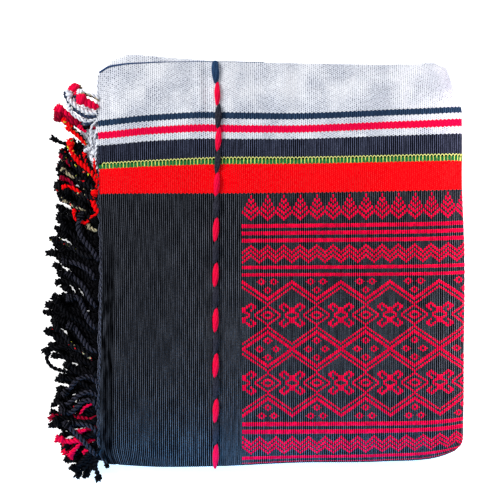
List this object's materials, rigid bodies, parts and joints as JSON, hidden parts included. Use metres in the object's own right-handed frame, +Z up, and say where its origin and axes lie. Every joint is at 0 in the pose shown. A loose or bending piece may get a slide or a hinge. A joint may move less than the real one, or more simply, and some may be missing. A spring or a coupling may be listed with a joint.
{
  "type": "folded blanket",
  "caption": "Handwoven blanket folded into a flat stack, with a twisted fringe at both ends and a heavy twined yarn across the face.",
  "frame": {"origin": "middle of the underside of the whole folded blanket, fringe included, where it meets the surface it lies on", "axes": "+Z up through the stack, +X from the fringed ends to the last fold, +Y from the front folds to the face's selvage"},
  "size_m": [0.4376, 0.4288, 0.0398],
  "materials": {
    "cloth": "matte handwoven cotton",
    "fringe": "twisted cotton cords",
    "yarn": "thick twisted yarn"
  },
  "bodies": {
    "root": {"blanket_cloth": "cloth", "fringe_upper_face": "fringe", "fringe_upper_middle": "fringe", "fringe_upper_under": "fringe", "fringe_lower_under": "fringe", "fringe_lower_middle": "fringe", "fringe_lower_face": "fringe", "twined_yarn": "yarn"}
  },
  "joints": []
}
